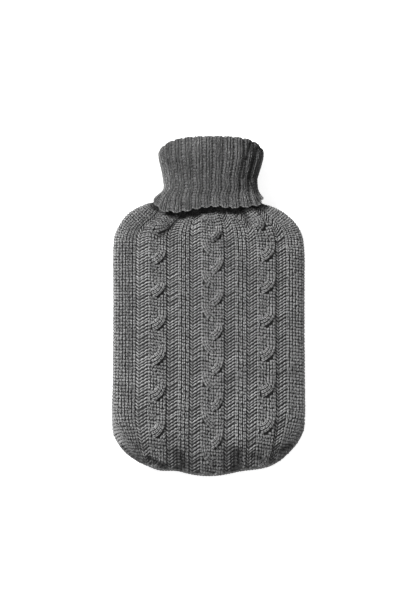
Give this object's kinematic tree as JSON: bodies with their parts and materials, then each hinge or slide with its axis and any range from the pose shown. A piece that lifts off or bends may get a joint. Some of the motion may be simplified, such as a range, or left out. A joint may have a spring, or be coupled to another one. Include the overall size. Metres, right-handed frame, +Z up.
{
  "type": "hot water bottle cover",
  "caption": "Knitted bottle-shaped cover with a cabled front, a plain back and a ribbed collar that turns over once, lying on its back.",
  "frame": {"origin": "centre of the bounding box's underside, on the surface the cover lies on", "axes": "+X across the cover, +Y along it towards the collar, +Z up out of its cabled face"},
  "size_m": [0.205, 0.3607, 0.0465],
  "materials": {
    "cabled_knit": "matt chunky knit in a mid grey melange yarn, with raised cables and ribs",
    "plain_knit": "matt plain knit in the same mid grey melange yarn",
    "ribbed_knit": "matt narrow rib in the same yarn, darker in its grooves"
  },
  "bodies": {
    "root": {"front_panel": "cabled_knit", "back_panel": "plain_knit", "collar": "ribbed_knit"}
  },
  "joints": []
}
